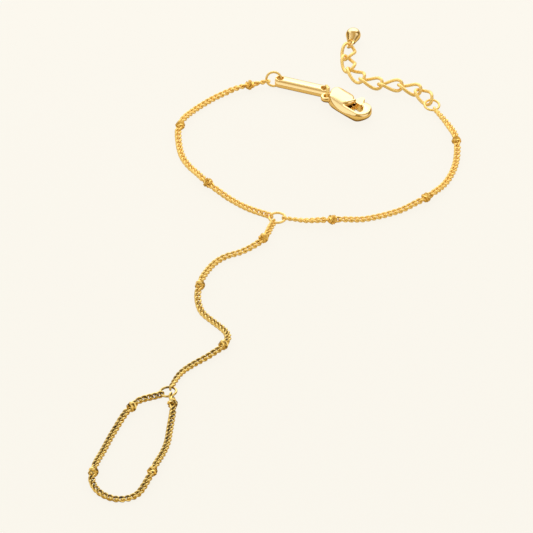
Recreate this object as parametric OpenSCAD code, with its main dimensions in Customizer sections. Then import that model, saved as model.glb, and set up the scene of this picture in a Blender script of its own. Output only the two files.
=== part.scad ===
// Hand chain bracelet: a wrist chain, a strand over the back of the hand and a finger loop,
// lying open on a flat surface. Millimetres, +Z up, origin on that surface under the middle.

/* [Fine chain] */
// Diameter of the chain's wire
wire_d = 0.34; // [0.28:0.01:0.36]
// Length of one link over its ends
link_length = 1.96; // [1.9:0.02:2.2]
// Width of one link over its sides
link_width = 1.34; // [1.3:0.02:1.5]
// Free play between two wires that hook into each other
link_gap = 0.16; // [0.14:0.01:0.18]

/* [Beads] */
// Diameter of each bead on the chain
bead_d = 2; // [1.6:0.1:2.2]
// Links between two beads
span_links = 15; // [13:1:17]

/* [Strands] */
// Links from the wrist ring to the first bead on the clasp side
left_first = 13; // [9:1:17]
// Links from the last bead on the clasp side to the tag's ring
left_last = 2; // [2:1:8]
// Links from the wrist ring to the first bead on the extender side
right_first = 7; // [5:1:12]
// Links from the last bead on the extender side to the extender's ring
right_last = 9; // [4:1:14]
// Links from the wrist ring to the first bead over the hand
hand_first = 4; // [3:1:8]
// Links from the last bead over the hand to the finger ring
hand_last = 13; // [9:1:17]
// Links from the finger ring to the first bead of the finger loop
finger_first = 5; // [3:1:9]
// Links from the last bead of the finger loop back to the finger ring
finger_last = 1; // [1:1:4]

/* [Jump rings] */
// Wire diameter of the jump rings
ring_wire_d = 0.38; // [0.3:0.01:0.4]
// Outer diameter of the ring where the three wrist strands meet
wrist_ring_d = 3.5; // [3.2:0.1:4.2]
// Outer diameter of the ring at the finger loop
finger_ring_d = 3.4; // [3.2:0.1:4.2]
// Outer diameter of the ring between the chain and the tag
tag_ring_d = 3.3; // [3:0.1:4]
// Outer diameter of the ring between the tag and the clasp
clasp_ring_d = 3.3; // [3.1:0.1:3.5]
// Outer diameter of the ring between the chain and the extender
extender_ring_d = 3.3; // [3:0.1:4]

/* [Tag bar] */
// Length of the tag bar
tag_length = 11.2; // [10:0.1:12]
// Width of the tag bar
tag_width = 2.9; // [2.6:0.1:3.1]
// Height of the tag bar at its crown
tag_height = 1.5; // [1.3:0.05:1.6]
// Radius of the curve across the tag bar's top
tag_crown_r = 1.8; // [1.6:0.1:4]
// Radius of the tag bar's corners
tag_corner_r = 1; // [0.2:0.1:1.2]
// Diameter of the hole at each end of the tag bar
tag_hole_d = 1.4; // [1.3:0.05:1.6]
// Distance of each hole's middle from the end of the bar
tag_hole_in = 0.95; // [0.9:0.05:1.1]

/* [Clasp] */
// Length of the clasp from the middle of its eye to the end of its hook
clasp_length = 10.1; // [9.8:0.1:11]
// Thickness of the clasp at its middle
clasp_height = 3; // [2.6:0.1:3.3]
// Diameter of the hook's outside curve
hook_d = 4.9; // [4.7:0.1:5.1]
// Width of the opening inside the hook
mouth_width = 2.3; // [2.1:0.1:2.4]
// Thickness of the metal between that opening and the clasp's long edge
spine_width = 0.9; // [0.75:0.05:1.1]
// Diameter of the wide part that holds the lever's pin
cheek_d = 4.7; // [4.5:0.1:4.9]
// Radius of the curve across the clasp's top and bottom
dome_r = 3.5; // [3.2:0.1:8]
// Diameter of the hole in the clasp's eye
eye_hole_d = 1.25; // [1.15:0.05:1.35]
// Outer diameter of the clasp's eye
eye_d = 2.2; // [2.1:0.05:2.3]
// Thickness of the clasp's eye
eye_height = 1; // [0.8:0.1:1.2]

/* [Lever] */
// Thickness of the lever's plate between the two cheeks
lever_plate = 0.8; // [0.6:0.05:0.9]
// Thickness of the lever's gate outside the cheeks
gate_height = 1.9; // [1.4:0.05:2.1]
// Width of the lever's gate
gate_width = 1.25; // [1:0.05:1.35]
// Diameter of the lever's pin
pin_d = 0.7; // [0.5:0.05:0.8]
// How far the thumb tab stands out from the gate
tab_reach = 1; // [0.8:0.05:1.2]

/* [Extender] */
// Wire diameter of the extender's links
extender_wire_d = 0.54; // [0.46:0.02:0.6]
// Length of one extender link over its ends
extender_link_length = 5.3; // [4.8:0.1:5.8]
// Width of one extender link over its sides
extender_link_width = 3.1; // [2.9:0.1:3.5]
// Free play between two extender links
extender_gap = 0.2; // [0.18:0.01:0.3]
// Diameter of the ball at the end of the extender
drop_d = 3; // [2.4:0.1:3.4]

/* [Hidden] */
fn = 72;
EXTENDER_LINKS = 7;

// Chosen points of each strand's route, measured from the ring that the strand starts at
LEFT_ROUTE = [[-5.5, 3], [-9.5, 6.5], [-13, 10], [-15.5, 14], [-18, 18.5], [-19, 23.5], [-19, 28.5],
    [-17, 33], [-14, 36.5], [-10.5, 39.5], [-6, 41.6], [-2, 42.8]];
RIGHT_ROUTE = [[6.5, -1], [11, -1], [16, -0.5], [21, 1], [26, 3.5], [30, 6.5], [33, 10.5],
    [35, 15], [36, 20], [36, 25.5], [34.5, 30.5], [32, 35.5]];
HAND_ROUTE = [[-1.5, -3.8], [-2.3, -6.5], [-4.3, -8.8], [-7.1, -10.5], [-10, -11.9], [-12.3, -14.3],
    [-13.8, -17.5], [-14.8, -21.3], [-15.1, -25], [-14.2, -28.8], [-12, -31.7], [-10.1, -34.1],
    [-9.3, -36.6], [-9.9, -39.1], [-12.1, -41.4], [-15.5, -44], [-18.1, -47], [-19.8, -51.1]];
FINGER_ROUTE = [[-5.5, -3], [-8, -7], [-9.9, -11.5], [-11.4, -16], [-12.8, -20.5], [-13.5, -25.2],
    [-12, -28.3], [-8.9, -30.1], [-5.6, -29.2], [-3.6, -25.8], [-1.9, -20.8], [-0.1, -15],
    [0.5, -10], [1, -5]];
EXTENDER_ROUTE = [[-1.5, 3.5], [-5, 6], [-9.5, 6.5], [-13, 7.5], [-16, 10], [-17.5, 14.5],
    [-17, 19], [-16, 24]];

// Where the wrist ring lies, and the compass angle at which each strand leaves a ring
WRIST_RING_AT = [-0.6, 11.5];
LEFT_ANGLE = 155;
RIGHT_ANGLE = -5;
HAND_ANGLE = 242;
FINGER_START_ANGLE = 207;
FINGER_END_ANGLE = -65;
EXTENDER_ANGLE = 110;

// Headings of the pieces between the chain and the clasp, and how far two of the rings lean up
TAG_RING_HEADING = 0;
TAG_HEADING = -20.5;
CLASP_RING_HEADING = -82;
CLASP_HEADING = -45;
TAG_RING_LEAN = 72;
FINGER_RING_HEADING = -132;
FINGER_RING_LEAN = 7;
CLASP_RING_LEAN = 78;

// Height of the tag bar's middle, and of the chain's end in the tag's ring
tag_z = 1.35;
chain_end_z = 1.1;
// How far the bar is drawn out from the middle of its first hole
TAG_SLACK = 0.1;

// Sizes worked out from the ones above
wire_r = wire_d / 2;
ring_r = ring_wire_d / 2;
bead_r = bead_d / 2;
half_link = (link_length - wire_d) / 2;
side = (link_width - wire_d) / 2;
hook = wire_d + link_gap;
pitch = 2 * half_link - hook;
bead_half = bead_r + link_gap + wire_r + hook;
bead_step = bead_half + half_link - hook;
bead_hinge = bead_half - hook / 2;
ring_step = half_link - wire_r - ring_r - link_gap;
rise = 5;
turn_links = 6;

BEAD_NAMES = ["bead_left_1", "bead_left_2", "bead_left_3", "bead_right_1", "bead_right_2",
    "bead_right_3", "bead_hand_1", "bead_hand_2", "bead_hand_3", "bead_finger_1", "bead_finger_2",
    "bead_finger_3", "bead_finger_4"];
LINK_NAMES = [for (i = [1:EXTENDER_LINKS]) str("extender_link_", i)];

// A smooth curve through the points, as short straight steps
function ends(p) = concat([2 * p[0] - p[1]], p, [2 * p[len(p) - 1] - p[len(p) - 2]]);
function bend(a, b, c, d, t) = b + (c - a) * t / 2 + (2 * a - 5 * b + 4 * c - d) * t * t / 2
    + (3 * b - a - 3 * c + d) * t * t * t / 2;
function curve(p) = let (q = ends(p), n = 12)
    concat([for (i = [0:len(p) - 2], j = [0:n - 1]) bend(q[i], q[i + 1], q[i + 2], q[i + 3], j / n)],
    [p[len(p) - 1]]);
function walked(c) = [for (i = 0, d = 0; i < len(c);
    d = d + (i < len(c) - 1 ? norm(c[i + 1] - c[i]) : 0), i = i + 1) [d, c[i][0], c[i][1]]];
function route_length(c) = walked(c)[len(c) - 1][0];

// The route of a strand, grown or shrunk until it is as long as the strand's links and beads
function on_ring(at, d, angle) = at + (d - ring_wire_d) / 2 * [cos(angle), sin(angle)];
function grown(from, at, mids, to, k) = concat([from], [for (m = mids) at + k * m], to);
function fitted(from, at, mids, to, long, k = 1, tries = 7) = tries == 0
    ? walked(curve(grown(from, at, mids, to, k)))
    : fitted(from, at, mids, to, long,
        k * long / route_length(curve(grown(from, at, mids, to, k))), tries - 1);

// Place and heading on a walked route at a distance from its start
function last(v) = v[len(v) - 1];
function spot(w, s) = [lookup(s, [for (q = w) [q[0], q[1]]]), lookup(s, [for (q = w) [q[0], q[2]]])];
function along(w, s) = let (e = last(w)[0], a = min(max(s, 0), e), b = a + (s < a ? 0.3 : -0.3))
    s == a ? spot(w, s) : spot(w, a) + abs(s - a) / 0.3 * (spot(w, a) - spot(w, b));
function between(w, s, h) = (along(w, s + h) + along(w, s - h)) / 2;
function heading(w, s, h = 0.4) = let (d = along(w, s + h) - along(w, s - h)) atan2(d[1], d[0]);

// A strand is a row of runs of links with a bead after each run but the last
function run_start(runs, i) = i == 0 ? ring_step
    : run_start(runs, i - 1) + (runs[i - 1] - 1) * pitch + 2 * bead_step;
function bead_place(runs, i) = run_start(runs, i) + (runs[i] - 1) * pitch + bead_step;
function strand_length(runs) = run_start(runs, len(runs) - 1) + (last(runs) - 1) * pitch + ring_step;
function pieces_before(runs, i) = i == 0 ? 0 : pieces_before(runs, i - 1) + runs[i - 1] + 1;
function piece_count(runs) = pieces_before(runs, len(runs) - 1) + last(runs);

left_runs = [left_first, span_links, span_links, left_last];
right_runs = [right_first, span_links, span_links, right_last];
hand_runs = [hand_first, span_links, span_links, hand_last];
finger_runs = [finger_first, span_links, span_links, span_links, finger_last];

left_way = fitted(on_ring(WRIST_RING_AT, wrist_ring_d, LEFT_ANGLE), WRIST_RING_AT, LEFT_ROUTE, [],
    strand_length(left_runs));
right_way = fitted(on_ring(WRIST_RING_AT, wrist_ring_d, RIGHT_ANGLE), WRIST_RING_AT, RIGHT_ROUTE, [],
    strand_length(right_runs));
hand_way = fitted(on_ring(WRIST_RING_AT, wrist_ring_d, HAND_ANGLE), WRIST_RING_AT, HAND_ROUTE, [],
    strand_length(hand_runs));
function far_end(w) = [last(w)[1], last(w)[2]];
hand_end_heading = heading(hand_way, last(hand_way)[0]);
finger_ring_at = on_ring(far_end(hand_way), finger_ring_d, hand_end_heading);
finger_way = fitted(on_ring(finger_ring_at, finger_ring_d, FINGER_START_ANGLE), finger_ring_at,
    FINGER_ROUTE, [on_ring(finger_ring_at, finger_ring_d, FINGER_END_ANGLE)],
    strand_length(finger_runs));

// Strands: route, runs, roll of the last link and height of the end
LEFT = [left_way, left_runs, 0, chain_end_z];
RIGHT = [right_way, right_runs, 90, 0];
HAND = [hand_way, hand_runs, 90, 0];
FINGER = [finger_way, finger_runs, 90, 0];

// Each link is rolled 45 degrees to one side, the next to the other, and turns near the rings
function fade(x) = x >= 1 ? 0 : 1 - x;
function side_of(i) = i % 2 == 0 ? 45 : -45;
function first_turn(i) = 45 * fade(i / turn_links);
function last_turn(strand, i) = let (n = piece_count(strand[1]) - 1, s = side_of(n))
    (strand[2] == 0 ? -s : s) * fade((n - i) / turn_links);
function roll(strand, i) = side_of(i) + first_turn(i) + last_turn(strand, i);
function swell(x) = x >= 1 ? 0 : (1 + cos(180 * max(0, x))) / 2;
function rest_z(strand, i) = wire_r + side * sin(min(90, 45 + first_turn(i) + abs(last_turn(strand, i))));
function end_lift(strand, i, s) = strand[3] == 0 ? 0
    : (strand[3] - rest_z(strand, i)) * swell((last(strand[0])[0] - s) / rise);
function bead_lift(strand, i, s) = max([for (b = [0:len(strand[1]) - 2])
    (bead_r - rest_z(strand, i)) * swell((abs(s - bead_place(strand[1], b)) - bead_hinge) / rise)]);
function z_at(strand, i, s) = rest_z(strand, i) + max(end_lift(strand, i, s), bead_lift(strand, i, s));

// Puts a piece of a strand in its place, so that the points it turns at (h before and after its
// middle) lie on the route
function height(strand, i, s, h) = (z_at(strand, i, s + h) + z_at(strand, i, s - h)) / 2;
function slope(strand, i, s, h) = atan2(z_at(strand, i, s + h) - z_at(strand, i, s - h), 2 * h);
module on_strand(strand, i, s, h) {
  at = between(strand[0], s, h);
  translate([at[0], at[1], height(strand, i, s, h)])
    rotate([0, -slope(strand, i, s, h), heading(strand[0], s, h)])
      rotate([roll(strand, i), 0, 0]) children();
}

// A long link of round wire: two half rings joined by two straight wires
module long_link(half, r, w) {
  for (a = [0, 180]) rotate([0, 0, a]) translate([half - r, 0, 0]) rotate([0, 0, -90])
    rotate_extrude(angle = 180, $fn = fn) translate([r, 0]) circle(r = w, $fn = fn);
  for (y = [-r, r]) translate([r - half, y, 0]) rotate([0, 90, 0])
    cylinder(r = w, h = 2 * (half - r), $fn = fn);
}
module ring(d, w) {
  rotate_extrude($fn = fn) translate([d / 2 - w, 0]) circle(r = w, $fn = fn);
}

module chain(strand) {
  color("goldenrod") for (run = [0:len(strand[1]) - 1], j = [0:strand[1][run] - 1])
    on_strand(strand, pieces_before(strand[1], run) + j, run_start(strand[1], run) + j * pitch,
        pitch / 2) long_link(half_link, side, wire_r);
}
module bead(strand, b) {
  color("gold") on_strand(strand, pieces_before(strand[1], b) + strand[1][b],
      bead_place(strand[1], b), bead_hinge) {
        sphere(r = bead_r, $fn = fn);
        long_link(bead_half, side, wire_r);
      }
}

// The wrist ring lies at the height of the upright links that hold it; the finger ring lifts a
// little towards its last bead
ring_z = wire_r + side;
finger_ring_raise = 0.35;
finger_ring_z = ring_z + finger_ring_raise * (finger_ring_d / 2 - ring_r) * sin(FINGER_RING_LEAN);

// A leaning ring: its plane holds the heading u and the leaning direction v
function forward(h) = [cos(h), sin(h), 0];
function leaning(h, lean) = [-sin(h) * cos(lean), cos(h) * cos(lean), sin(lean)];
function rim(at, h, lean, d, t) = at + (d / 2 - ring_r) * (cos(t) * forward(h) + sin(t) * leaning(h, lean));
function rim_angle(z, centre_z, lean, d) = asin((z - centre_z) / ((d / 2 - ring_r) * sin(lean)));
function stand_z(lean, d) = (d / 2 - ring_r) * sin(lean) + ring_r;
module leaning_ring(at, h, lean, d) {
  color("goldenrod") translate(at) rotate([0, 0, h]) rotate([lean, 0, 0]) ring(d, ring_r);
}

// From the chain's end through the tag's ring, the tag bar and the clasp's ring to the clasp's eye.
// Where a ring passes through a hole, the middle of its arc inside the hole is the hole's middle.
eye_z = clasp_height / 2;
tag_ring_z = stand_z(TAG_RING_LEAN, tag_ring_d);
clasp_ring_z = stand_z(CLASP_RING_LEAN, clasp_ring_d);
function at_z(z, h, lean, d, way) = let (t = rim_angle(z, stand_z(lean, d), lean, d))
    rim([0, 0, stand_z(lean, d)], h, lean, d, way > 0 ? t : 180 - t);
function in_hole(z, tall, h, lean, d, way) = let (p = (at_z(z - tall / 2, h, lean, d, way)
    + at_z(min(z + tall / 2, stand_z(lean, d)), h, lean, d, way)) / 2) [p[0], p[1]];
function flat(p) = [p[0], p[1]];
tag_ring_at = far_end(left_way)
    - flat(at_z(chain_end_z, TAG_RING_HEADING, TAG_RING_LEAN, tag_ring_d, -1));
tag_start = tag_ring_at + TAG_SLACK * flat(forward(TAG_HEADING))
    + in_hole(tag_z, tag_height, TAG_RING_HEADING, TAG_RING_LEAN, tag_ring_d, 1);
tag_end = tag_start + (tag_length - 2 * tag_hole_in) * flat(forward(TAG_HEADING));
clasp_ring_at = tag_end
    - in_hole(tag_z, tag_height, CLASP_RING_HEADING, CLASP_RING_LEAN, clasp_ring_d, -1);
eye_at = clasp_ring_at
    + in_hole(eye_z, eye_height, CLASP_RING_HEADING, CLASP_RING_LEAN, clasp_ring_d, 1);

module tag_bar() {
  c = tag_corner_r;
  color("gold") translate([tag_start[0], tag_start[1], tag_z - tag_height / 2])
    rotate([0, 0, TAG_HEADING]) translate([-tag_hole_in, 0, 0]) difference() {
      intersection() {
        union() {
          translate([c, -tag_width / 2, 0]) cube([tag_length - 2 * c, tag_width, tag_height]);
          translate([0, c - tag_width / 2, 0]) cube([tag_length, tag_width - 2 * c, tag_height]);
          for (x = [c, tag_length - c], y = [c - tag_width / 2, tag_width / 2 - c])
            translate([x, y, 0]) cylinder(r = c, h = tag_height, $fn = fn);
        }
        translate([-1, 0, tag_height - tag_crown_r]) rotate([0, 90, 0])
          cylinder(r = tag_crown_r, h = tag_length + 2, $fn = fn);
      }
      for (x = [tag_hole_in, tag_length - tag_hole_in]) translate([x, 0, -1])
        cylinder(r = tag_hole_d / 2, h = tag_height + 2, $fn = fn);
    }
}

// The clasp lies flat with its eye's middle at [0, 0], its hook towards +x and its lever towards +y
hook_r = hook_d / 2;
mouth_r = mouth_width / 2;
cheek_r = cheek_d / 2;
hook_at = [clasp_length - hook_r, 1.35];
cheek_at = [3, 1.35];
shoulder_at = [1.3, 2.1];
shoulder_r = 1.6;
neck_at = [0.95, 0.75];
neck_r = 0.6;
belly_at = [5.3, -1.38];
belly_r = 9;
pin_at = [3, 1.8];
spine_y = hook_at[1] - hook_r + spine_width;
mouth_at = [hook_at[0], spine_y + mouth_r];
play = 0.1;
pin_play = 0.05;
cheek_reach = 2.75;
gate_reach = hook_at[0] - pin_at[0] - 0.25;
gate_y = mouth_at[1] + mouth_r - pin_at[1];
heel_r = 0.95;
slot_height = lever_plate + 2 * play;
slot_depth = 1.7;
rivet_in = 0.3;
tab_x = 3.15;
tab_r = 0.5;
tab_sink = 0.3;
tab_foot_near = 0.45;
tab_foot_far = 0.9;
dome_long_r = 20;
dome_at = [3.9, hook_at[1]];

module in_clasp() {
  translate([eye_at[0], eye_at[1], 0]) rotate([0, 0, CLASP_HEADING]) children();
}
module post(at, r, h, z = 0) {
  translate([at[0], at[1], z]) cylinder(r = r, h = h, $fn = fn);
}
// A space domed above and below, across and along
module pillow(h) {
  intersection() {
    intersection_for (s = [-1, 1]) translate([-clasp_length / 2, dome_at[1], h / 2 + s * (dome_r - h / 2)])
      rotate([0, 90, 0]) cylinder(r = dome_r, h = 2 * clasp_length, $fn = 2 * fn);
    intersection_for (s = [-1, 1]) translate([dome_at[0], clasp_length, h / 2 + s * (dome_long_r - h / 2)])
      rotate([90, 0, 0]) cylinder(r = dome_long_r, h = 2 * clasp_length, $fn = 4 * fn);
  }
}
module clasp_outline(h) {
  post(neck_at, neck_r, h);
  post(shoulder_at, shoulder_r, h);
  post(cheek_at, cheek_r, h);
  post(hook_at, hook_r, h);
  intersection() {
    post([belly_at[0], belly_at[1] + belly_r], belly_r, h);
    translate([neck_at[0], -hook_r, 0]) cube([hook_at[0] - neck_at[0], hook_r + neck_at[1], h]);
  }
}
// The opening inside the hook, with the way through which the gate swings
module mouth(h) {
  difference() {
    union() {
      post(mouth_at, mouth_r, h + 2, -1);
      translate([cheek_at[0], spine_y, -1]) cube([mouth_at[0] - cheek_at[0], 2 * mouth_r, h + 2]);
      intersection() {
        translate([cheek_at[0], mouth_at[1], -1]) cube([6, 6, h + 2]);
        post(pin_at, gate_reach + play, h + 4, -2);
      }
    }
    post(pin_at, cheek_reach, h + 4, -2);
  }
}
module clasp_body() {
  z0 = (clasp_height - slot_height) / 2;
  color("gold") in_clasp() {
    difference() {
      intersection() {
        difference() {
          clasp_outline(clasp_height);
          mouth(clasp_height);
        }
        pillow(clasp_height);
      }
      post(pin_at, heel_r + play, slot_height, z0);
      translate([pin_at[0] - play, pin_at[1] - slot_depth, z0]) cube([4, 5, slot_height]);
      post([0, 0], eye_hole_d / 2, clasp_height + 2, -1);
    }
    post(pin_at, pin_d / 2, clasp_height - 2 * rivet_in, rivet_in);
    difference() {
      post([0, 0], eye_d / 2, eye_height, eye_z - eye_height / 2);
      post([0, 0], eye_hole_d / 2, clasp_height + 2, -1);
    }
  }
}
module clasp_lever() {
  tab_top = gate_y + gate_width + tab_reach;
  tab_foot_y = gate_y + gate_width - tab_sink;
  color("gold") in_clasp() translate([pin_at[0], pin_at[1], clasp_height / 2]) difference() {
    union() {
      post([0, 0], heel_r, lever_plate, -lever_plate / 2);
      translate([0, gate_y, -lever_plate / 2]) cube([cheek_reach + 0.4, gate_width, lever_plate]);
      intersection() {
        difference() {
          translate([0, gate_y, -gate_height / 2]) cube([6, gate_width, gate_height]);
          post([0, 0], cheek_reach + play, 4, -2);
        }
        post([0, 0], gate_reach, 4, -2);
      }
      translate([0, 0, -gate_height / 2]) linear_extrude(gate_height)
        polygon([[tab_x - tab_foot_near, tab_foot_y], [tab_x + tab_foot_far, tab_foot_y],
          [tab_x + tab_r, tab_top - tab_r], [tab_x - tab_r, tab_top - tab_r]]);
      post([tab_x, tab_top - tab_r], tab_r, gate_height, -gate_height / 2);
    }
    post([0, 0], pin_d / 2 + pin_play, 2, -1);
  }
}

// The extender starts at its ring, which slopes from the chain's height to the extender's
ext_r = extender_wire_d / 2;
ext_half = (extender_link_length - extender_wire_d) / 2;
ext_side = (extender_link_width - extender_wire_d) / 2;
ext_hook = extender_wire_d + extender_gap;
ext_pitch = 2 * ext_half - ext_hook;
ext_first = ext_half - ext_r - ring_r - 2 * extender_gap;
ext_z = ext_r + ext_side * sin(45);
ext_ring_r = extender_ring_d / 2 - ring_r;
ext_ring_low = 0.15;
ext_ring_high = ext_z - ext_ring_low;
ext_ring_tilt = asin((ext_ring_high - ring_z) / (2 * ext_ring_r));
right_end_heading = heading(right_way, last(right_way)[0]);
ext_ring_mid = far_end(right_way) + ext_ring_r * cos(ext_ring_tilt)
    * [cos(right_end_heading), sin(right_end_heading)];
drop_r = drop_d / 2;
loop_wire_r = 0.22;
loop_r = 0.75;
drop_neck = 2.9;
neck_thin_r = 0.8;
neck_wide_r = 1.35;
neck_sunk = 0.6;
spare_route = 2;
extender_length = ext_first + EXTENDER_LINKS * ext_pitch + spare_route;
extender_way = fitted(ext_ring_mid + ext_ring_r * [cos(EXTENDER_ANGLE), sin(EXTENDER_ANGLE)],
    ext_ring_mid, EXTENDER_ROUTE, [], extender_length);

// The points the extender's links turn at, each one link's pitch straight from the one before
function stride(w, s, d, t, tries = 5) = tries == 0 ? s + t
    : stride(w, s, d, t * d / norm(along(w, s + t) - along(w, s)), tries - 1);
function hinge(i) = i == 0 ? ext_first - ext_pitch / 2 : let (s = hinge(i - 1))
    stride(extender_way, s, ext_pitch, ext_pitch);

module extender_ring() {
  color("goldenrod") translate([ext_ring_mid[0], ext_ring_mid[1], (ring_z + ext_ring_high) / 2])
    rotate([0, -ext_ring_tilt, right_end_heading]) ring(extender_ring_d, ring_r);
}
module extender_link(i) {
  from = along(extender_way, hinge(i));
  to = along(extender_way, hinge(i + 1));
  h = atan2(to[1] - from[1], to[0] - from[0]);
  at = to - ext_pitch / 2 * [cos(h), sin(h)];
  color("gold") translate([at[0], at[1], ext_z]) rotate([0, 0, h])
    rotate([side_of(i), 0, 0]) long_link(ext_half, ext_side, ext_r);
}
module extender_drop() {
  end = along(extender_way, hinge(EXTENDER_LINKS));
  h = heading(extender_way, hinge(EXTENDER_LINKS) + 1);
  dip = asin((drop_r - ext_z) / drop_neck);
  color("gold") translate([end[0], end[1], ext_z]) rotate([0, -dip, h])
    translate([loop_r - (ext_r + loop_wire_r + extender_gap) / 2, 0, 0]) {
      rotate([side_of(EXTENDER_LINKS), 0, 0]) ring(2 * (loop_r + loop_wire_r), loop_wire_r);
      translate([loop_r, 0, 0]) rotate([0, 90, 0])
        cylinder(r1 = neck_thin_r, r2 = neck_wide_r, h = drop_neck - loop_r - neck_sunk, $fn = fn);
      translate([drop_neck, 0, 0]) sphere(r = drop_r, $fn = fn);
    }
}

BEADS = [[LEFT, 0], [LEFT, 1], [LEFT, 2], [RIGHT, 0], [RIGHT, 1], [RIGHT, 2], [HAND, 0], [HAND, 1],
    [HAND, 2], [FINGER, 0], [FINGER, 1], [FINGER, 2], [FINGER, 3]];

chain(LEFT);  // wrist_chain_left
chain(RIGHT);  // wrist_chain_right
chain(HAND);  // hand_chain
chain(FINGER);  // finger_chain
for (i = [0:len(BEAD_NAMES) - 1])
  bead(BEADS[i][0], BEADS[i][1]);
leaning_ring([WRIST_RING_AT[0], WRIST_RING_AT[1], ring_z], 0, 0, wrist_ring_d);  // wrist_ring
leaning_ring([finger_ring_at[0], finger_ring_at[1], finger_ring_z], FINGER_RING_HEADING,  // finger_ring
    FINGER_RING_LEAN, finger_ring_d);
leaning_ring([tag_ring_at[0], tag_ring_at[1], tag_ring_z], TAG_RING_HEADING, TAG_RING_LEAN, tag_ring_d);  // tag_ring
tag_bar();
leaning_ring([clasp_ring_at[0], clasp_ring_at[1], clasp_ring_z], CLASP_RING_HEADING,  // clasp_ring
    CLASP_RING_LEAN, clasp_ring_d);
clasp_body();
clasp_lever();
extender_ring();
for (i = [0:EXTENDER_LINKS - 1])
  extender_link(i);
extender_drop();
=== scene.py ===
"""Looks of a fine gold hand chain: curb links, beads, rings, tag bar, lobster clasp and extender.

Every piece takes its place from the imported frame. Lengths are in metres, and the sensor's in mm.
"""

import math

import bpy
import numpy as np
from mathutils import Matrix, Vector


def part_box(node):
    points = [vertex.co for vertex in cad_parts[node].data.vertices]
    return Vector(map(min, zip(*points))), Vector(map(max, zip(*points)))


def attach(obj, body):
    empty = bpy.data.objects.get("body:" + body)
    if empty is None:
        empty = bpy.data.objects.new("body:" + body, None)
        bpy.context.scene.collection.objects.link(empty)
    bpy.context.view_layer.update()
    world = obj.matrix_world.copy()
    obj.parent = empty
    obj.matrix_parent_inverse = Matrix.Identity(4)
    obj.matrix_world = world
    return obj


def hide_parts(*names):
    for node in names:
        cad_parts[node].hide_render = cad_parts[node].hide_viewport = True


MM = 0.001
PHOTO_SIZE = 533

# Camera: the photograph's angle, and the point on the floor that it looks at
CAMERA_AT = Vector((-2.7, -903, 716)) * MM
CAMERA_AIM = Vector((-2.7, -2.8, 0)) * MM
SENSOR_MM = 36
FOCAL_PIXELS = 6000
CLIP = (0.05, 20)

# Wire loops: half length and half width on the middle of the wire, and the wire's radius
LINK = (0.82 * MM, 0.47 * MM, 0.22 * MM)
BEAD_LOOP = (1.83 * MM, 0.47 * MM, 0.21 * MM)
EXTENDER_LOOP = (2.36 * MM, 1.26 * MM, 0.33 * MM)
# How finely loops are made: steps round the loop, sides of the wire
LINK_GRID = (28, 10)
BEAD_LOOP_GRID = (40, 10)
EXTENDER_GRID = (48, 14)
RING_GRID = (56, 14)
# Degrees by which a link's ends are turned out of its plane
END_TWIST = 45
# Pieces over which a strand's roll at a ring runs out into its level lay
TURN_PIECES = 6

# A cut ball: radius, rows of facets, facets in a row
BEAD = (1.03 * MM, 8, 9)
# Share of its radius by which a bead is dented where facets meet; the dents are marked as recesses, and
# the painted shade darkens them into dark spots
DIMPLE_DEPTH = 0.24
# Name of the value that tells how deep in a recess a point lies, which sets how much painted shade the
# point gets
RECESS = "recess"

# Strands: node of the chain, node of the ring that it starts from, number of beads
STRANDS = {
    "left": ("wrist_chain_left", "wrist_ring", 3),
    "right": ("wrist_chain_right", "wrist_ring", 3),
    "hand": ("hand_chain", "wrist_ring", 3),
    "finger": ("finger_chain", "finger_ring", 4),
}
# Roll of a strand's first and last piece, as seen from the ring that holds it
START_ROLL = {"left": -45, "right": -45, "hand": -45, "finger": -45}
END_ROLL = {"left": -45, "right": 45, "hand": 45, "finger": 45}
RINGS = ("wrist_ring", "finger_ring", "tag_ring", "clasp_ring", "extender_ring")
EXTENDER_LINKS = 7
# Thickness of a ring's wire, as a share of the solid's
RING_SWELL = 1.25

FLOOR_HALF = 2
FLOOR_SHADE = (0.04, 0.035, 0.03, 1)
FLOOR_COLOR = (251, 248, 239)
FLOOR_GLOW = 0.935
# Y between which the gold goes over from sharp and patched with painted shade to soft and even; its shift
# of tint along this span is painted light and shade
FADE = (-0.045, 0.01)
# Colour of the painted shade laid into recesses
RECESS_SHADE_COLOR = (0.05, 0.026, 0.005, 1)
# Depths in a recess between which the painted shade sets in
RECESS_DARK = (0.3, 0.75)
COAT_WEIGHT = 0.3
COAT_IOR = 2.1
# Clouds that break the painted shade into patches and vary the roughness, and the metal's fine grain:
# clouds to the metre, detail
CLOUDS = (900, 5)
CLOUD_RANGE = (0.4, 0.62)
CLOUD_LEAST = 0.5
CLOUD_ROUGHNESS = 0.05
GRAIN = (5200, 4)
GRAIN_DEPTH = 0.04 * MM
# The studio's dim walls, and its glows: direction, cosines where each starts and is full, colour
DIM = (0.24, 0.15, 0.04, 1)
GLOWS = (
    ((0, 0, -1), 0.0, 0.4, (0.84, 0.65, 0.33, 1)),
    ((0, 0, -1), 0.52, 0.8, (0.2, 0.12, 0.03, 1)),
    ((0, -0.2, 1), 0.5, 0.9, (0.55, 0.4, 0.18, 1)),
    ((0, 0.8, 0.6), 0.5, 0.84, (1, 0.98, 0.94, 1)),
    ((-0.8, -0.3, 0.5), 0.8, 0.88, (1.1, 1.06, 1, 1)),
    ((0.75, -0.5, 0.35), 0.84, 0.9, (1.05, 1, 0.94, 1)),
)


def linear(r, g, b):
    """A colour given as 8-bit sRGB, as the shader wants it."""
    parts = [c / 255 for c in (r, g, b)]
    return tuple(c / 12.92 if c <= 0.04045 else ((c + 0.055) / 1.055) ** 2.4 for c in parts) + (1,)


# Reading the frame

# Points of a mesh that lie closer than this are one
SAME_POINT = 1e-7


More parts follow.
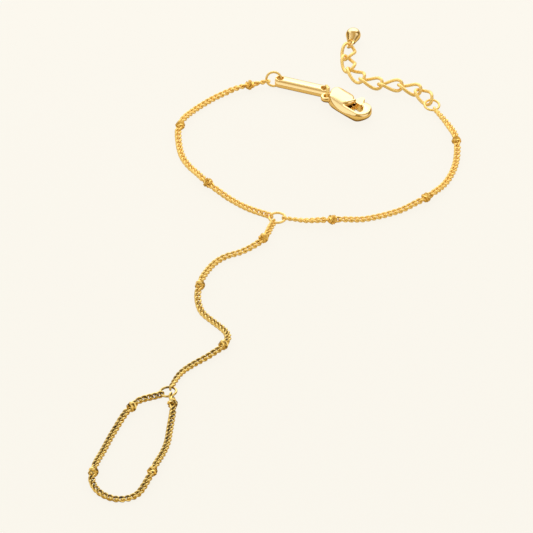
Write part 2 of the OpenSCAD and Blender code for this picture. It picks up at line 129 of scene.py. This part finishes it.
def welded(mesh):
    """The mesh's points with doubles merged, and its edges between them."""
    points = np.empty(len(mesh.vertices) * 3)
    mesh.vertices.foreach_get("co", points)
    points = points.reshape(-1, 3)
    edges = np.empty(len(mesh.edges) * 2, dtype=np.int64)
    mesh.edges.foreach_get("vertices", edges)
    _, first, weld = np.unique(np.round(points / SAME_POINT).astype(np.int64), axis=0,
                               return_index=True, return_inverse=True)
    return points[first], weld.reshape(-1)[edges.reshape(-1, 2)]


def islands(mesh):
    """The points of each loose solid in a mesh."""
    points, edges = welded(mesh)
    label = np.arange(len(points))
    while True:
        low = np.minimum(label[edges[:, 0]], label[edges[:, 1]])
        new = label.copy()
        np.minimum.at(new, edges[:, 0], low)
        np.minimum.at(new, edges[:, 1], low)
        new = new[new]
        if (new == label).all():
            break
        label = new
    order = np.argsort(label, kind="stable")
    cuts = np.flatnonzero(np.diff(label[order])) + 1
    return [points[group] for group in np.split(order, cuts)]


def pose_of(points):
    """Middle and long axis of a solid."""
    low, high = points.min(0), points.max(0)
    middle = (points.mean(0) + (low + high) / 2) / 2
    _, axes = np.linalg.eigh(np.cov((points - points.mean(0)).T))
    return Vector(middle), Vector(axes[:, -1]).normalized()


def walk(pieces, start):
    """The pieces in the order of the strand, each with its axis towards the next."""
    left, here, ordered = list(pieces), start, []
    while left:
        nearest = min(left, key=lambda p: (p[1] - here).length)
        left.remove(nearest)
        ordered.append(nearest)
        here = nearest[1]
    before = start
    turned = []
    for name, middle, axis in ordered:
        turned.append((name, middle, axis if axis.dot(middle - before) > 0 else -axis))
        before = middle
    return turned


# Shapes

# Angle over which the direction of a loop's wire is measured
NUDGE = 1e-3


def loop_frame(middle, axis, roll):
    """Matrix of a piece that lies along axis, rolled about it from level."""
    side = Vector((0, 0, 1)).cross(axis).normalized()
    up = axis.cross(side)
    turn = Matrix((axis, side, up)).transposed().to_4x4()
    return Matrix.Translation(middle) @ turn @ Matrix.Rotation(math.radians(roll), 4, "X")


def wire_loop(size, grid, twist=END_TWIST):
    """Points and faces of a loop of wire with its ends twisted apart, and how inward each point is, which
    sets its painted shade.
    """
    half, width, wire = size
    steps, sides = grid
    lift = width * math.tan(math.radians(twist)) / 2

    def middle(t):
        return Vector((half * math.cos(t), width * math.sin(t), lift * math.sin(2 * t)))

    points, faces, inward = [], [], []
    for i in range(steps):
        t = 2 * math.pi * i / steps
        at = middle(t)
        along = (middle(t + NUDGE) - middle(t - NUDGE)).normalized()
        out = Vector((at.x / half ** 2, at.y / width ** 2, 0))
        out = (out - along * out.dot(along)).normalized()
        over = along.cross(out)
        for j in range(sides):
            a = 2 * math.pi * j / sides
            points.append(at + wire * (math.cos(a) * out + math.sin(a) * over))
            # The inner side of the wire, where links meet, counts as deepest in a recess and gets the
            # most painted shade
            inward.append((1 - math.cos(a)) / 2)
            k, n = (j + 1) % sides, ((i + 1) % steps) * sides
            faces.append((i * sides + j, n + j, n + k, i * sides + k))
    return points, faces, inward


def cut_ball(size):
    """The same of a ball with its poles on x, each row of facets half a facet on from the last."""
    radius, rows, columns = size
    points, faces, inward = [Vector((radius, 0, 0))], [], [0]
    for i in range(1, rows):
        t = math.pi * i / rows
        for j in range(columns):
            a = 2 * math.pi * (j + i % 2 / 2) / columns
            ring = Vector((0, math.cos(a), math.sin(a))) * math.sin(t)
            # Every third point is dented and marked as a recess, for the painted shade
            dimple = 1 if (i + 2 * j) % 3 == 0 else 0
            points.append(radius * (1 - DIMPLE_DEPTH * dimple) * (Vector((math.cos(t), 0, 0)) + ring))
            inward.append(dimple)
    points.append(Vector((-radius, 0, 0)))
    inward.append(0)
    last = len(points) - 1
    for j in range(columns):
        k = (j + 1) % columns
        faces.append((0, 1 + j, 1 + k))
        faces.append((last, last - columns + k, last - columns + j))
        for i in range(rows - 2):
            n, m = 1 + i * columns, 1 + (i + 1) * columns
            if i % 2:
                faces += [(n + j, m + j, m + k), (n + j, m + k, n + k)]
            else:
                faces += [(n + j, m + j, n + k), (n + k, m + j, m + k)]
    return points, faces, inward


def add_piece(name, parts, body, node, material, flat=0):
    """One object of several (shape, matrix) parts that stands for a CAD node; its last faces are flat."""
    points, faces, inward = [], [], []
    for (part_points, part_faces, part_inward), place in parts:
        base = len(points)
        inward += part_inward
        points += [place @ p for p in part_points]
        faces += [tuple(base + i for i in f) for f in part_faces]
    mesh = bpy.data.meshes.new(name)
    mesh.from_pydata(points, [], faces)
    mesh.attributes.new(RECESS, "FLOAT", "POINT").data.foreach_set("value", inward)
    mesh.shade_smooth()
    for face in mesh.polygons[len(faces) - flat:]:
        face.use_smooth = False
    return dress(bpy.data.objects.new(name, mesh), body, node, material)


def dress(piece, body, node, material):
    """Puts a piece in the scene with its material, on its body and in place of its CAD node."""
    bpy.context.scene.collection.objects.link(piece)
    piece.data.materials.clear()
    piece.data.materials.append(material)
    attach(piece, body)
    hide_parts(node)
    return piece


# Points closer than WELD are joined before a solid is rounded, by SMOOTHING in each round
WELD = 0.001 * MM
SMOOTHING = 0.5


def soft_copy(node, body, material, voxel, rounds, swell=0):
    """A copy of a CAD solid rounded as a casting is, swollen back by swell, and flat on the floor."""
    piece = bpy.data.objects.new(node + "_cast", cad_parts[node].data.copy())
    dress(piece, body, node, material)
    bpy.context.view_layer.objects.active = piece
    weld = piece.modifiers.new("weld", "WELD")
    weld.merge_threshold = WELD
    remesh = piece.modifiers.new("remesh", "REMESH")
    remesh.mode = "VOXEL"
    remesh.voxel_size = voxel
    remesh.use_smooth_shade = True
    smooth = piece.modifiers.new("smooth", "SMOOTH")
    smooth.factor = SMOOTHING
    smooth.iterations = rounds
    if swell:
        grow = piece.modifiers.new("grow", "DISPLACE")
        grow.strength = swell
        grow.mid_level = 0
    for modifier in list(piece.modifiers):
        bpy.ops.object.modifier_apply(modifier=modifier.name)
    for vertex in piece.data.vertices:
        vertex.co.z = max(vertex.co.z, 0)
    piece.data.shade_smooth()
    return piece


# Materials


def ramp(nodes, links, source, values, start=0, end=1):
    """A value that goes from the first of values to the second as source goes from start to end."""
    node = nodes.new("ShaderNodeMapRange")
    node.inputs["From Min"].default_value = start
    node.inputs["From Max"].default_value = end
    node.inputs["To Min"].default_value, node.inputs["To Max"].default_value = values
    links.new(source, node.inputs["Value"])
    return node.outputs["Result"]


def blend(nodes, links, share, first, second):
    """A colour mixed by share from two, each a colour or another node's output."""
    node = nodes.new("ShaderNodeMix")
    node.data_type = "RGBA"
    node.clamp_result = False
    links.new(share, node.inputs["Factor"])
    for color, socket in ((first, node.inputs["A"]), (second, node.inputs["B"])):
        if isinstance(color, tuple):
            socket.default_value = color
        else:
            links.new(color, socket)
    return node.outputs["Result"]


def noise(nodes, links, place, scale, detail):
    """Clouds, scale of them to the metre."""
    node = nodes.new("ShaderNodeTexNoise")
    node.inputs["Scale"].default_value = scale
    node.inputs["Detail"].default_value = detail
    links.new(place, node.inputs["Vector"])
    return node.outputs["Fac"]


def product(nodes, links, first, second):
    """Two values multiplied."""
    node = nodes.new("ShaderNodeMath")
    node.operation = "MULTIPLY"
    links.new(first, node.inputs[0])
    links.new(second, node.inputs[1])
    return node.outputs["Value"]


def gold(name, near, far, roughness, grain, recess_shade, metal):
    """Gold plate under clear lacquer, with painted shade in its recesses. Near and far, and each pair,
    are at the finger and at the clasp; the shift of tint between them is painted light and shade.
    """
    material = bpy.data.materials.new(name)
    material.use_nodes = True
    nodes, links = material.node_tree.nodes, material.node_tree.links
    shader = nodes["Principled BSDF"]
    shader.inputs["Coat Weight"].default_value = COAT_WEIGHT
    shader.inputs["Coat IOR"].default_value = COAT_IOR
    place = nodes.new("ShaderNodeTexCoord").outputs["Object"]
    split = nodes.new("ShaderNodeSeparateXYZ")
    links.new(place, split.inputs[0])
    along = ramp(nodes, links, split.outputs["Y"], (0, 1), *FADE)
    links.new(ramp(nodes, links, along, metal), shader.inputs["Metallic"])

    cloud = noise(nodes, links, place, *CLOUDS)
    patches = ramp(nodes, links, cloud, (CLOUD_LEAST, 1), *CLOUD_RANGE)
    # Painted shade: the recess value, broken into cloud patches, darkens the base colour towards the
    # shade colour, by a share that changes from the finger to the clasp
    recess = nodes.new("ShaderNodeAttribute")
    recess.attribute_name = RECESS
    dark = ramp(nodes, links, recess.outputs["Fac"], (0, 1), *RECESS_DARK)
    hidden = product(nodes, links, patches, dark)
    share = product(nodes, links, hidden, ramp(nodes, links, along, recess_shade))
    # The tint goes over from near to far along y: painted light and shade, not a change in the gold
    tint = blend(nodes, links, along, near, far)
    links.new(blend(nodes, links, share, tint, RECESS_SHADE_COLOR), shader.inputs["Base Color"])

    uneven = nodes.new("ShaderNodeMath")
    uneven.operation = "MULTIPLY_ADD"
    uneven.inputs[1].default_value = CLOUD_ROUGHNESS
    links.new(cloud, uneven.inputs[0])
    links.new(ramp(nodes, links, along, roughness), uneven.inputs[2])
    links.new(uneven.outputs["Value"], shader.inputs["Roughness"])
    links.new(uneven.outputs["Value"], shader.inputs["Coat Roughness"])

    bump = nodes.new("ShaderNodeBump")
    bump.inputs["Strength"].default_value = grain
    bump.inputs["Distance"].default_value = GRAIN_DEPTH
    links.new(noise(nodes, links, place, *GRAIN), bump.inputs["Height"])
    links.new(bump.outputs["Normal"], shader.inputs["Normal"])
    return material


def floor_material():
    """Pale, and lit from within so that it stays even."""
    material = bpy.data.materials.new("pale_floor")
    material.use_nodes = True
    nodes, links = material.node_tree.nodes, material.node_tree.links
    shader = nodes["Principled BSDF"]
    shader.inputs["Base Color"].default_value = FLOOR_SHADE
    shader.inputs["Roughness"].default_value = 1
    shader.inputs["Emission Color"].default_value = linear(*FLOOR_COLOR)
    shader.inputs["Emission Strength"].default_value = FLOOR_GLOW
    return material


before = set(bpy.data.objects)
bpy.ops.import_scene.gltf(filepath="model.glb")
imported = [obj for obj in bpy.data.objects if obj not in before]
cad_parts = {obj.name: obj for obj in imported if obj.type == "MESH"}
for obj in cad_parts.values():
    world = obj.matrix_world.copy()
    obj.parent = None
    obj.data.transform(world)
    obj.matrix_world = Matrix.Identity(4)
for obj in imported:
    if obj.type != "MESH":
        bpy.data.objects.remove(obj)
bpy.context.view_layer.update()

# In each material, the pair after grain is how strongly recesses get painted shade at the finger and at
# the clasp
chain_gold = gold("chain_gold", linear(246, 216, 124), linear(255, 222, 130),
                  roughness=(0.02, 0.5), grain=0.12, recess_shade=(1, 0), metal=(1, 0.6))
bead_gold = gold("bead_gold", linear(246, 214, 122), linear(252, 210, 106),
                 roughness=(0.02, 0.3), grain=0.2, recess_shade=(1, 0.35), metal=(1, 0.75))
ring_gold = gold("ring_gold", linear(232, 204, 122), linear(255, 222, 132),
                 roughness=(0.05, 0.35), grain=0.15, recess_shade=(0.9, 0), metal=(1, 0.48))
polished_gold = gold("polished_gold", linear(252, 222, 156), linear(254, 226, 162),
                     roughness=(0.05, 0.14), grain=0.06, recess_shade=(0, 0), metal=(1, 1))

# Chains and beads


def middle_of(node):
    """The middle of a node's box."""
    low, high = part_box(node)
    return (low + high) / 2


link_shape = wire_loop(LINK, LINK_GRID)
bead_shape = wire_loop(BEAD_LOOP, BEAD_LOOP_GRID)
ball_shape = cut_ball(BEAD)

for strand, (chain_node, start_node, bead_count) in STRANDS.items():
    pieces = [("link",) + pose_of(points) for points in islands(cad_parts[chain_node].data)]
    for number in range(1, bead_count + 1):
        bead_node = f"bead_{strand}_{number}"
        pieces.append((bead_node,) + pose_of(islands(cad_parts[bead_node].data)[0]))
    strand_pieces = walk(pieces, middle_of(start_node))
    last = len(strand_pieces) - 1
    links = []
    for i, (name, middle, axis) in enumerate(strand_pieces):
        roll = START_ROLL[strand] * max(0, 1 - i / TURN_PIECES)
        roll += END_ROLL[strand] * max(0, 1 - (last - i) / TURN_PIECES)
        place = loop_frame(middle, axis, roll)
        if name == "link":
            links.append((link_shape, place))
        else:
            parts = [(bead_shape, place), (ball_shape, place)]
            add_piece(name + "_cast", parts, "bracelet", name, bead_gold, len(ball_shape[1]))
    add_piece(chain_node + "_links", links, "bracelet", chain_node, chain_gold)

# Extender

extender_shape = wire_loop(EXTENDER_LOOP, EXTENDER_GRID)
behind = middle_of("extender_ring")
for number in range(1, EXTENDER_LINKS + 1):
    node = f"extender_link_{number}"
    middle, axis = pose_of(islands(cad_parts[node].data)[0])
    axis = axis if axis.dot(middle - behind) > 0 else -axis
    behind = middle
    roll = -END_TWIST / 2 if number == 1 else 0
    place = loop_frame(middle, axis, roll)
    add_piece(node + "_wire", [(extender_shape, place)], "bracelet", node, ring_gold)

# Rings


def ring_part(node):
    """Shape and matrix of a round ring like the node's, with its wire thickened by RING_SWELL."""
    points = islands(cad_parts[node].data)[0]
    middle = (points.min(0) + points.max(0)) / 2
    _, axes = np.linalg.eigh(np.cov((points - middle).T))
    lay = Matrix([Vector(axes[:, i]) for i in (2, 1, 0)]).transposed().to_4x4()
    reach = [Vector(point - middle).length for point in points]
    radius, wire = (max(reach) + min(reach)) / 2, (max(reach) - min(reach)) / 2
    shape = wire_loop((radius, radius, wire * RING_SWELL), RING_GRID, twist=0)
    return shape, Matrix.Translation(Vector(middle)) @ lay


for node in RINGS:
    add_piece(node + "_wire", [ring_part(node)], "bracelet", node, ring_gold)

# Tag, clasp, lever and drop

soft_copy("tag_bar", "bracelet", polished_gold, voxel=0.08 * MM, rounds=3)
soft_copy("clasp_body", "bracelet", polished_gold, voxel=0.08 * MM, rounds=130, swell=0.12 * MM)
soft_copy("clasp_lever", "lever", polished_gold, voxel=0.07 * MM, rounds=5)
soft_copy("extender_drop", "bracelet", polished_gold, voxel=0.07 * MM, rounds=4)

# Floor, light and camera

corners = [(x * FLOOR_HALF, y * FLOOR_HALF, 0) for x, y in ((-1, -1), (1, -1), (1, 1), (-1, 1))]
floor_mesh = bpy.data.meshes.new("floor")
floor_mesh.from_pydata(corners, [], [(0, 1, 2, 3)])
floor_mesh.materials.append(floor_material())
floor = bpy.data.objects.new("floor", floor_mesh)
floor.visible_glossy = False
bpy.context.scene.collection.objects.link(floor)


def softbox(name, at, aim, width, depth, power, color):
    """A rectangular lamp that shines from at towards aim."""
    light = bpy.data.lights.new(name, "AREA")
    light.shape = "RECTANGLE"
    light.size, light.size_y = width, depth
    light.energy = power
    light.color = color
    lamp = bpy.data.objects.new(name, light)
    lamp.location = at
    lamp.rotation_euler = (Vector(aim) - Vector(at)).to_track_quat("-Z", "Y").to_euler()
    bpy.context.scene.collection.objects.link(lamp)


softbox("over", at=(0.1, 0.5, 0.9), aim=(0, 0, 0), width=0.5, depth=0.3, power=0.5,
        color=(1, 0.98, 0.94))
softbox("back", at=(0, 0.2, 0.12), aim=(0, 0.04, 0), width=0.4, depth=0.2, power=0.28,
        color=(1, 0.97, 0.9))


def studio_world():
    """Soft studio: dim walls with the glows named above, each laid over those before it."""
    world = bpy.data.worlds.new("studio")
    bpy.context.scene.world = world
    world.use_nodes = True
    nodes, links = world.node_tree.nodes, world.node_tree.links
    place = nodes.new("ShaderNodeTexCoord")
    color = nodes.new("ShaderNodeRGB")
    color.outputs[0].default_value = DIM
    last = color.outputs[0]
    for toward, start, end, glow in GLOWS:
        dot = nodes.new("ShaderNodeVectorMath")
        dot.operation = "DOT_PRODUCT"
        dot.inputs[1].default_value = Vector(toward).normalized()
        links.new(place.outputs["Generated"], dot.inputs[0])
        soft = nodes.new("ShaderNodeMapRange")
        soft.interpolation_type = "SMOOTHSTEP"
        soft.inputs["From Min"].default_value = start
        soft.inputs["From Max"].default_value = end
        links.new(dot.outputs["Value"], soft.inputs["Value"])
        mix = nodes.new("ShaderNodeMix")
        mix.data_type = "RGBA"
        mix.clamp_result = False
        mix.inputs["B"].default_value = glow
        links.new(soft.outputs["Result"], mix.inputs["Factor"])
        links.new(last, mix.inputs["A"])
        last = mix.outputs["Result"]
    links.new(last, nodes["Background"].inputs["Color"])


studio_world()

camera = bpy.data.cameras.new("camera")
camera.sensor_width = SENSOR_MM
camera.lens = FOCAL_PIXELS * SENSOR_MM / PHOTO_SIZE
camera.clip_start, camera.clip_end = CLIP
camera_object = bpy.data.objects.new("camera", camera)
camera_object.location = CAMERA_AT
camera_object.rotation_euler = (CAMERA_AIM - CAMERA_AT).to_track_quat("-Z", "Y").to_euler()
bpy.context.scene.collection.objects.link(camera_object)
bpy.context.scene.camera = camera_object
bpy.context.scene.view_settings.view_transform = "Standard"
